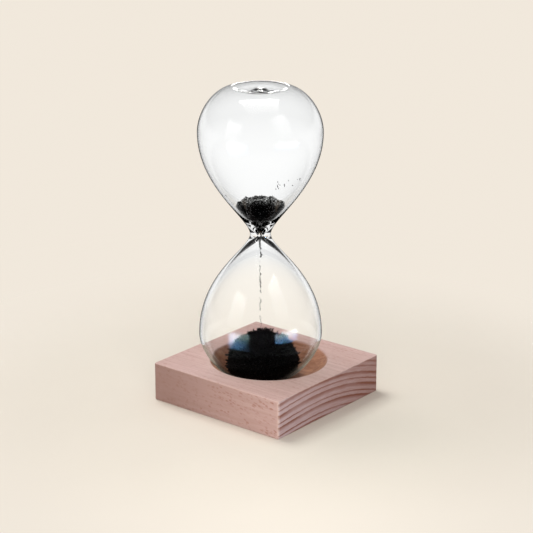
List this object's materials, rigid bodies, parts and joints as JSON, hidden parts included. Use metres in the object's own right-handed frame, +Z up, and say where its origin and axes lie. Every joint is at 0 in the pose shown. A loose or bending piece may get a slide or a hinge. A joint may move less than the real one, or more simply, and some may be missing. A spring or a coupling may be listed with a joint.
{
  "type": "magnetic hourglass",
  "caption": "Blown glass hourglass of iron filings standing in the dish of a square beech block, whose hidden magnet draws the fallen filings into a spiky heap.",
  "frame": {"origin": "centre of the wooden block's underside, on the table", "axes": "+Z up along the glass, +X along the wood's grain, the end-grain faces looking along X and the long-grain faces along Y"},
  "size_m": [0.08, 0.08, 0.1591],
  "materials": {
    "beech": "satin",
    "nickel_plate": "satin",
    "felt": "matte",
    "clear_glass": "gloss",
    "iron_filings": "matte"
  },
  "bodies": {
    "base": {"wooden_base": "beech", "base_magnet": "nickel_plate", "magnet_cover": "felt"},
    "filings": {"upper_filings": "iron_filings", "filings_stream": "iron_filings", "lower_filings": "iron_filings"},
    "glass": {"upper_bulb": "clear_glass", "lower_bulb": "clear_glass", "neck_collar": "clear_glass", "seal_pip": "clear_glass"}
  },
  "joints": [
    {"name": "lift_out", "type": "slide", "parent": "base", "child": "filings", "axis": [0, 0, 1], "range_m": [0, 0.12]},
    {"name": "turn_over", "type": "hinge", "parent": "filings", "child": "glass", "pos_m": [-0.0023, -0.0019, 0.0853], "axis": [0, -1, 0], "range_deg": [0, 180], "deforming": ["upper_filings", "filings_stream", "lower_filings"]}
  ],
  "couplings": [
    {"joint": "turn_over", "follows": "lift_out", "rad_per_m": 26.18}
  ]
}
